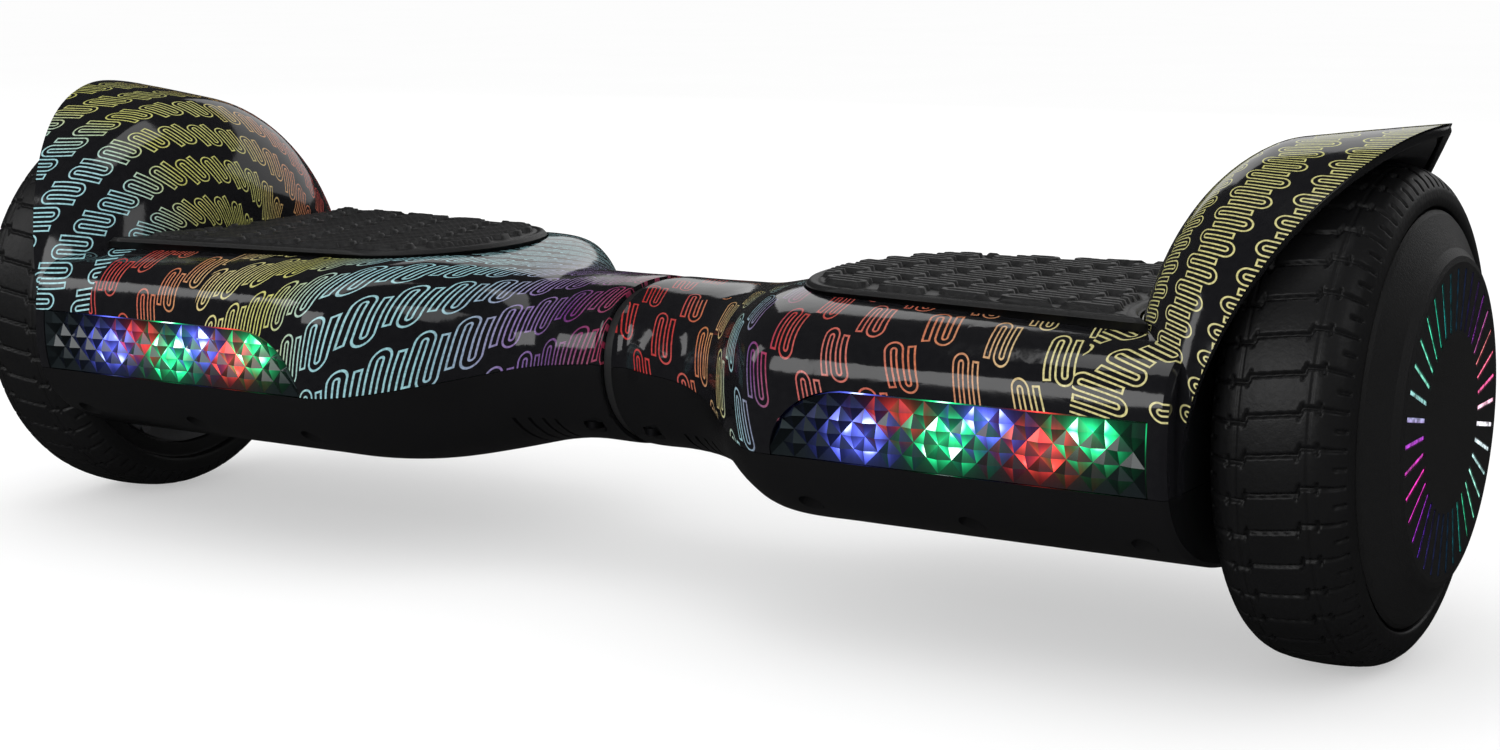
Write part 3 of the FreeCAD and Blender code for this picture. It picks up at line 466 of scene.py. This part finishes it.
def hub_light_material(sign):
    """The slots' colour goes round the hub as the lamps behind it do."""
    made, graph, shader = new_material("hub_lights_" + ("right" if sign > 0 else "left"))
    place, (_, y, z) = object_place(graph)
    angle = graph.math("ARCTAN2", z - AXLE_Z, y) / (2 * math.pi) + 0.5
    stops = [(0.0, (0.25, 0.02, 0.35)), (0.07, (0.75, 0.02, 0.35)), (0.14, (0.20, 0.03, 0.85)),
             (0.25, (0.02, 0.30, 0.75)), (0.33, (0.02, 0.65, 0.30)), (0.42, (0.35, 0.55, 0.55)),
             (0.48, (0.65, 0.60, 0.65)), (0.53, (0.80, 0.05, 0.25)), (0.58, (0.80, 0.20, 0.20)),
             (0.64, (0.45, 0.05, 0.75)), (0.70, (0.12, 0.10, 0.90)), (0.77, (0.02, 0.45, 0.60)),
             (0.84, (0.02, 0.60, 0.32)), (0.93, (0.15, 0.45, 0.35)), (1.0, (0.25, 0.02, 0.35))]
    colour = graph.ramp(angle, stops)
    speckle = graph.noise(place, 420.0, 2.0)
    set_inputs(shader, colour=graph.mix_colour(0.7, colour, (0.05, 0.05, 0.05, 1.0)), rough=0.3,
               emission=colour, emission_strength=0.3 + 2.2 * graph.smooth(speckle, 0.3, 0.75))
    return made


def assign(node, material):
    mesh_object = NODES[node]
    mesh_object.data.materials.clear()
    mesh_object.data.materials.append(material)


def make_mesh(name, points, faces, material, smooth=True):
    mesh = bpy.data.meshes.new(name)
    mesh.from_pydata([tuple(p) for p in points], [], faces)
    mesh.polygons.foreach_set("use_smooth", [smooth] * len(faces))
    mesh.materials.append(material)
    mesh.update()
    made = bpy.data.objects.new(name, mesh)
    bpy.context.scene.collection.objects.link(made)
    return made


def grid_faces(rows, columns, close_rows=False, flip=False):
    faces = []
    for i in range(rows if close_rows else rows - 1):
        j = (i + 1) % rows
        for k in range(columns - 1):
            quad = (i * columns + k, j * columns + k, j * columns + k + 1, i * columns + k + 1)
            faces.append(quad[::-1] if flip else quad)
    return faces


def squiggle_distance(u, v, pitch, half, row_pitch, climb):
    """Distance to the middle line of the same serpentine, for shapes made in mesh."""
    unit = 3 * pitch
    index = np.floor(u / unit)
    x = u - index * unit
    t = v - index * climb
    t = t - (np.floor(t / row_pitch) + 0.5) * row_pitch
    second = x > 1.5 * pitch
    x = np.where(second, unit - x, x)
    t = np.where(second, -t, t)
    a = x - pitch
    over = np.abs(np.hypot(a, t - half) - pitch / 2)
    beside = np.abs(np.abs(a) - pitch / 2)
    end = np.hypot(a + pitch / 2, np.maximum(-half - t, 0))
    turn = np.abs(np.hypot(a - pitch, t + half) - pitch / 2)
    under = np.where(a < 0, end, turn)
    return np.where(t > half, over, np.where(t < -half, under, beside))


def step(value, low, high):
    t = np.clip((value - low) / (high - low), 0, 1)
    return t * t * (3 - 2 * t)


def cad_tree(node):
    mesh = NODES[node].data
    corners = [tuple(p.vertices) for p in mesh.polygons]
    return BVHTree.FromPolygons([v.co for v in mesh.vertices], corners)


# Foot mats

MAT_GRID = (210, 200)
MAT_PITCH, MAT_BAR_HALF, MAT_ROW, MAT_CLIMB = 4.6 * MM, 6.2 * MM, 24.0 * MM, 4.0 * MM
MAT_SLANT = 0.2
TREAD_HEIGHT = 1.75 * MM


def foot_mat(side, sign, material):
    """A rubber mat with a bevelled rim and rows of raised squiggles."""
    node = side + "_foot_mat"
    low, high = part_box(node)
    tree = cad_tree(node)
    level = low.z + 1.0 * MM
    rows, columns = MAT_GRID
    inset = 0.35 * MM
    ys = np.linspace(low.y + inset, high.y - inset, rows)
    grid = np.zeros((rows, columns, 3))
    for i, y in enumerate(ys):
        inner = tree.ray_cast(Vector((low.x - 0.1, y, level)), Vector((1, 0, 0)))[0]
        outer = tree.ray_cast(Vector((high.x + 0.1, y, level)), Vector((-1, 0, 0)))[0]
        span = np.linspace(inner.x, outer.x, columns)
        grid[i, :, 0], grid[i, :, 1] = span, y
    rim = np.concatenate([grid[0, :, :2], grid[-1, :, :2], grid[:, 0, :2], grid[:, -1, :2]])
    lookup = KDTree(len(rim))
    for i, p in enumerate(rim):
        lookup.insert((p[0], p[1], 0), i)
    lookup.balance()
    edge = np.array([lookup.find((p[0], p[1], 0))[2] for p in grid.reshape(-1, 3)])
    edge = edge.reshape(rows, columns)
    base = high.z - 0.9 * MM
    ridge = squiggle_distance(grid[..., 1] + MAT_SLANT * grid[..., 0] * sign, grid[..., 0] * sign,
                              MAT_PITCH, MAT_BAR_HALF, MAT_ROW, MAT_CLIMB)
    inside = step(edge, 5.0 * MM, 6.5 * MM)
    height = base - 0.9 * MM + TREAD_HEIGHT * inside * (1 - step(ridge, 1.1 * MM, 1.7 * MM))
    lip = step(edge, 0.0, 2.2 * MM)
    groove = np.exp(-((edge - 4.0 * MM) / (0.7 * MM)) ** 2)
    grid[..., 2] = height - 1.6 * MM * (1 - lip) ** 2 - 0.5 * MM * groove
    points = grid.reshape(-1, 3).tolist()
    faces = grid_faces(rows, columns, flip=True)
    loop = ([k for k in range(columns)] + [i * columns + columns - 1 for i in range(1, rows)]
            + [(rows - 1) * columns + k for k in range(columns - 2, -1, -1)]
            + [i * columns for i in range(rows - 2, 0, -1)])
    skirt = len(points)
    points += [(points[i][0], points[i][1], low.z) for i in loop]
    count = len(loop)
    faces += [(loop[i], loop[(i + 1) % count], skirt + (i + 1) % count, skirt + i) for i in range(count)]
    faces.append(tuple(skirt + i for i in range(count)))
    mat = make_mesh(side + "_mat_surface", points, faces, material)
    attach(mat, side + "_foot_pad")
    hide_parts(node)


# Tyres

GROOVES = 42
STEPS_PER_GROOVE = 26
GROOVE_DEPTH = 1.3 * MM


def tyre_profile():
    """(offset from the tyre's middle, radius) points from one bead over the tread to the other."""
    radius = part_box("right_tyre")[1].z - AXLE_Z
    half = (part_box("right_tyre")[1].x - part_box("right_tyre")[0].x) / 2
    right = [(0.0, 0.0), (0.22, -0.15), (0.42, -0.5), (0.6, -1.2), (0.74, -2.5), (0.86, -4.6), (0.95, -7.4),
             (0.985, -10.5), (0.985, -12.6), (0.95, -13.2), (0.862, -13.4), (0.862, -19.4)]
    left = [(-a, b) for a, b in reversed(right[1:])]
    points = np.array([(half * a, radius + b * MM) for a, b in left + right])
    along = np.concatenate([[0], np.cumsum(np.hypot(*np.diff(points, axis=0).T))])
    fine = np.linspace(0, along[-1], 150)
    smooth = np.stack([np.interp(fine, along, points[:, i]) for i in range(2)], 1)
    kernel = np.array([1, 2, 3, 2, 1]) / 9
    for i in range(2):
        smooth[2:-2, i] = np.convolve(smooth[:, i], kernel, "valid")
    return smooth


def tyre(side, sign, material):
    """A solid tyre with stepped cross grooves, short cross marks and shoulder sipes."""
    profile = tyre_profile()
    turns = GROOVES * STEPS_PER_GROOVE
    angles = np.arange(turns) * 2 * math.pi / turns
    offset, radius = profile[:, 0], profile[:, 1]
    outer = radius.max()
    a, s = np.meshgrid(angles, offset, indexing="ij")
    r = np.broadcast_to(radius, a.shape).copy()
    pitch = 2 * math.pi / GROOVES
    half = abs(offset).max()
    across = s / half
    jog = np.sign(across) * step(abs(across), 0.36, 0.40)
    lead = 0.10 * pitch * np.sin(across * 2.6) + 0.16 * pitch * jog

    def to_groove(shift):
        around = (a + lead) / pitch + shift
        return abs(around - np.round(around)) * pitch * outer

    gap = to_groove(0.0)
    cut = (1 - step(gap, 0.35 * MM, 0.85 * MM)) * (1 - step(abs(across), 0.92, 0.96))
    for centre in (-0.62, -0.38, 0.38, 0.62):
        mark = 1 - step(abs(s - centre * half), 0.35 * MM, 0.75 * MM)
        cut = np.maximum(cut, mark * (1 - step(gap, 1.5 * MM, 2.2 * MM)))
    for centre in (-0.5, 0.5):
        thin = 0.35 * (1 - step(abs(s - centre * half), 0.15 * MM, 0.5 * MM))
        cut = np.maximum(cut, thin)
    shoulder = step(abs(across), 0.80, 0.83) * (1 - step(abs(across), 0.93, 0.96))
    sipe = (1 - step(to_groove(0.5), 0.4 * MM, 0.85 * MM)) * shoulder
    cut = np.maximum(cut, sipe)
    r -= GROOVE_DEPTH * cut * step(r, outer - 9 * MM, outer - 6 * MM)
    x = sign * TYRE_MID + s * sign
    points = np.stack([x, r * np.cos(a), AXLE_Z + r * np.sin(a)], -1).reshape(-1, 3)
    faces = grid_faces(turns, len(profile), close_rows=True, flip=sign > 0)
    columns = len(profile)
    faces += [((i + 1) % turns * columns, i * columns, i * columns + columns - 1,
               (i + 1) % turns * columns + columns - 1)[::-1 if sign > 0 else 1] for i in range(turns)]
    made = make_mesh(side + "_tread_tyre", points, faces, material)
    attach(made, side + "_wheel")
    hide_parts(side + "_tyre")


# Fender lips

LIP_RADIUS = 1.8 * MM
LIP_SIDES = 12
LIP_REACH = 160 * MM        # rays start this far from the axle, outside the fender


def fender_lip(side, sign, material):
    """The rolled lip under the free edge of a fender, found from the edge of the shell itself."""
    low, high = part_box(side + "_upper_shell")
    tree = cad_tree(side + "_upper_shell")

    def skin(x, angle):
        """How far the shell's outside is from the axle, or None where there is no shell."""
        way = Vector((0, math.cos(angle), math.sin(angle)))
        place, _, _, far = tree.ray_cast(Vector((x, 0, AXLE_Z)) + way * LIP_REACH, -way)
        return None if place is None or LIP_REACH - far < TYRE_RADIUS else LIP_REACH - far

    centres = []
    for angle in np.linspace(math.radians(12), math.radians(168), 90):
        inside, outside = sign * (TYRE_MID - 20 * MM), (high.x if sign > 0 else low.x) + sign * MM
        if skin(inside, angle) is None:
            continue
        for _ in range(16):
            middle = (inside + outside) / 2
            if skin(middle, angle) is None:
                outside = middle
            else:
                inside = middle
        x = inside - sign * LIP_RADIUS
        r = skin(x, angle)
        if r is not None:
            centre = r - LIP_RADIUS - 0.1 * MM
            centres.append((x, centre * math.cos(angle), AXLE_Z + centre * math.sin(angle)))
    centres = np.array(centres)
    for _ in range(2):
        centres[1:-1] = (centres[:-2] + 2 * centres[1:-1] + centres[2:]) / 4
    points, faces = [], []
    for i, centre in enumerate(centres):
        run = centres[min(i + 1, len(centres) - 1)] - centres[max(i - 1, 0)]
        run = Vector(run).normalized()
        across = run.cross(Vector((1, 0, 0))).normalized()
        up = across.cross(run)
        for k in range(LIP_SIDES):
            turn = 2 * math.pi * k / LIP_SIDES
            points.append(Vector(centre) + (across * math.cos(turn) + up * math.sin(turn)) * LIP_RADIUS)
    for i in range(len(centres) - 1):
        for k in range(LIP_SIDES):
            a, b = i * LIP_SIDES + k, i * LIP_SIDES + (k + 1) % LIP_SIDES
            faces.append((a, b, b + LIP_SIDES, a + LIP_SIDES))
    faces.append(tuple(range(LIP_SIDES))[::-1])
    faces.append(tuple((len(centres) - 1) * LIP_SIDES + k for k in range(LIP_SIDES)))
    made = make_mesh(side + "_fender_lip", points, faces, material)
    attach(made, side + "_half")


# Light bars

LENS_CELL = (8.6 * MM, 9.2 * MM)
LENS_DEPTH = 1.7 * MM


def light_bar(side, material):
    """A clear moulding whose front is cut into square pyramids set on their corners."""
    node = side + "_light_lens"
    low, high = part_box(node)
    tree = cad_tree(node)
    edge = 0.25 * MM
    columns = round(2 * (high.x - low.x) / LENS_CELL[0])
    rows = round(2 * (high.z - low.z) / LENS_CELL[1])
    xs = np.linspace(low.x + edge, high.x - edge, columns + 1)
    zs = np.linspace(low.z + edge, high.z - edge, rows + 1)

    def span(x):
        """Lowest and highest point of the lens at x."""
        ends = []
        for start, way in ((low.z - 0.02, 1), (high.z + 0.02, -1)):
            hit = tree.ray_cast(Vector((x, high.y - 0.4 * MM, start)), Vector((0, 0, way)))[0]
            ends.append(start if hit is None else hit.z)
        return ends

    points = []
    for i, x in enumerate(xs):
        bottom, top = span(x)
        for j in range(rows + 1):
            z = min(max(zs[j], bottom + edge), top - edge)
            hit = tree.ray_cast(Vector((x, low.y - 0.02, z)), Vector((0, 1, 0)))[0]
            y = low.y if hit is None else hit.y
            valley = (i + j) % 2 == 0 and 0 < i < columns and 0 < j < rows
            depth = LENS_DEPTH if valley else 0.15 * MM
            points.append((x, y + depth, z))
    count = rows + 1
    faces = []
    for i in range(columns):
        for j in range(rows):
            a, b, c, d = i * count + j, (i + 1) * count + j, (i + 1) * count + j + 1, i * count + j + 1
            if (i + j) % 2 == 0:
                faces += [(a, b, c), (a, c, d)]
            else:
                faces += [(a, b, d), (b, c, d)]
    loop = ([i * count for i in range(columns + 1)] + [columns * count + j for j in range(1, count)]
            + [i * count + rows for i in range(columns - 1, -1, -1)] + list(range(rows - 1, 0, -1)))
    back = len(points)
    points += [(points[k][0], high.y - 0.1 * MM, points[k][2]) for k in loop]
    total = len(loop)
    faces += [(loop[k], back + k, back + (k + 1) % total, loop[(k + 1) % total]) for k in range(total)]
    faces.append(tuple(back + k for k in range(total)))
    made = make_mesh(side + "_faceted_lens", points, faces, material, smooth=False)
    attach(made, side + "_half")
    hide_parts(node)


# Materials for the carried-over pieces

satin = satin_plastic("satin_black", (0.0055, 0.0055, 0.006), 0.24, 900.0, 0.06)
grained = satin_plastic("grained_black", (0.0085, 0.0085, 0.009), 0.50, 1500.0, 0.5)
mat_rubber = rubber("mat_rubber_look", (0.0150, 0.0150, 0.0155), 0.44, 900.0)
tyre_rubber = rubber("tyre_rubber_look", (0.0055, 0.0055, 0.006), 0.42, 500.0)
cast = metal("cast_alloy", (0.62, 0.63, 0.65), 0.45, True)
zinc = metal("zinc_plate", (0.66, 0.67, 0.70), 0.28, False)
dark_screw = metal("black_screw_look", (0.05, 0.05, 0.055), 0.35, False)
copper = metal("copper_wire", (0.80, 0.36, 0.16), 0.35, False)
bronze = metal("sintered_bronze", (0.62, 0.42, 0.20), 0.5, True)
nickel = metal("nickel_plate", (0.5, 0.5, 0.52), 0.3, False)
wrap = satin_plastic("battery_wrap_look", (0.02, 0.08, 0.35), 0.25, 200.0, 0.2)
button_grey = satin_plastic("button_grey", (0.30, 0.31, 0.33), 0.35, 900.0, 0.2)
circuit = circuit_material()

LOOKS = {
    "lower_shell": satin, "shell_screws": dark_screw, "light_board": circuit, "gyro_board": circuit,
    "axle_clamp": cast, "clamp_screws": zinc, "axle": zinc, "motor_stator": nickel, "motor_windings": copper,
    "motor_cable": mat_rubber, "frame": cast, "motor_drum": cast, "motor_magnets": nickel,
    "motor_covers": cast, "motor_bearings": zinc, "cover_screws": zinc, "hub_cover": grained,
    "hub_light_board": circuit, "pad_plate": satin, "pivot_shaft": zinc, "snap_rings": zinc,
    "stop_pins": zinc, "neck_seal": mat_rubber, "wiring_loom": mat_rubber, "controller_board": circuit,
    "pivot_bushes": bronze, "battery_pack": wrap, "button_housing": satin, "charge_port": satin,
    "power_button": button_grey, "charge_cap": mat_rubber, "light_lens": satin, "foot_mat": mat_rubber,
    "tyre": tyre_rubber,
}

for name in NODES:
    kind = name.replace("left_", "").replace("right_", "")
    if kind in LOOKS:
        assign(name, LOOKS[kind])

for side, sign in SIDES:
    assign(side + "_upper_shell", printed_shell(side, sign))
    assign(side + "_hub_light_guide", hub_light_material(sign))
    foot_mat(side, sign, mat_rubber)
    tyre(side, sign, tyre_rubber)
    light_bar(side, lens_material(side))
    fender_lip(side, sign, satin)


# Floor, light and camera

def floor_material():
    """A near-white floor that the object's gloss sees as dark, as round a shot in a dark studio."""
    made, graph, shader = new_material("pale_floor")
    place, _ = object_place(graph)
    tone = graph.noise(place, 3.0, 2.0)
    pale = graph.mix_colour(tone, (0.955, 0.955, 0.955, 1.0), (0.975, 0.975, 0.975, 1.0))
    glossy = Value(graph, graph.node("ShaderNodeLightPath").outputs["Is Glossy Ray"])
    dark = (0.02, 0.02, 0.02, 1.0)
    lit = graph.mix_colour(0.45, pale, (0.0, 0.0, 0.0, 1.0))
    set_inputs(shader, colour=graph.mix_colour(glossy, lit, dark), rough=0.9, specular=0.0,
               emission=graph.mix_colour(glossy, pale, dark), emission_strength=0.45)
    return made


REACH = 12.0
floor_points = [(-REACH, -REACH, 0), (REACH, -REACH, 0), (REACH, REACH, 0), (-REACH, REACH, 0)]
floor = make_mesh("floor", floor_points, [(0, 1, 2, 3)], floor_material(), False)


def softbox(name, azimuth, elevation, distance, size, radiance):
    """A rectangular light round the board: azimuth 0 is the front, and grows towards the left."""
    around, up = math.radians(azimuth), math.radians(elevation)
    aim = Vector((0, 0, AXLE_Z))
    way = Vector((-math.sin(around) * math.cos(up), -math.cos(around) * math.cos(up), math.sin(up)))
    data = bpy.data.lights.new(name, "AREA")
    data.shape, data.size, data.size_y = "RECTANGLE", size[0], size[1]
    data.energy = radiance * math.pi * size[0] * size[1]
    lamp = bpy.data.objects.new(name, data)
    bpy.context.scene.collection.objects.link(lamp)
    lamp.location = aim + way * distance
    lamp.rotation_euler = (-way).to_track_quat("-Z", "Y").to_euler()
    lamp.visible_camera = False


softbox("key_softbox", 11.0, 21.0, 1.7, (1.15, 0.66), 3.0)
softbox("side_softbox", 62.0, 25.0, 1.8, (0.4, 0.9), 2.5)
softbox("right_softbox", -70.0, 35.0, 1.8, (0.5, 0.7), 1.5)
softbox("top_softbox", 90.0, 82.0, 1.6, (0.9, 0.6), 1.5)
softbox("back_softbox", 180.0, 24.0, 2.4, (3.4, 1.3), 0.8)

world = bpy.data.worlds.new("studio")
bpy.context.scene.world = world
world.use_nodes = True
world.node_tree.nodes.clear()
sky = Graph(world.node_tree)
path = sky.node("ShaderNodeLightPath")
level = 1.03 - 1.0 * Value(sky, path.outputs["Is Glossy Ray"])
background = sky.node("ShaderNodeBackground")
background.inputs[0].default_value = (1, 1, 1, 1)
sky.link(level, background.inputs[1])
world_out = sky.node("ShaderNodeOutputWorld")
world.node_tree.links.new(background.outputs[0], world_out.inputs[0])

scene = bpy.context.scene
scene.view_settings.view_transform = "Standard"

CAMERA_PLACE = Vector((0.5008, -0.7520, 0.2217))
YAW, PITCH, ROLL = (math.radians(a) for a in (32.04, 9.05, -0.18))
camera_data = bpy.data.cameras.new("camera")
camera_data.sensor_width = 36.0
camera_data.lens = 59.03
camera_data.shift_x = 0.0101
camera_data.shift_y = -0.0159
camera = bpy.data.objects.new("camera", camera_data)
scene.collection.objects.link(camera)
forward = Vector((-math.sin(YAW) * math.cos(PITCH), math.cos(YAW) * math.cos(PITCH), -math.sin(PITCH)))
right = forward.cross(Vector((0, 0, 1))).normalized()
up = right.cross(forward)
rolled_right = right * math.cos(ROLL) + up * math.sin(ROLL)
rolled_up = up * math.cos(ROLL) - right * math.sin(ROLL)
basis = Matrix((rolled_right, rolled_up, -forward)).transposed()
camera.matrix_world = Matrix.Translation(CAMERA_PLACE) @ basis.to_4x4()
scene.camera = camera
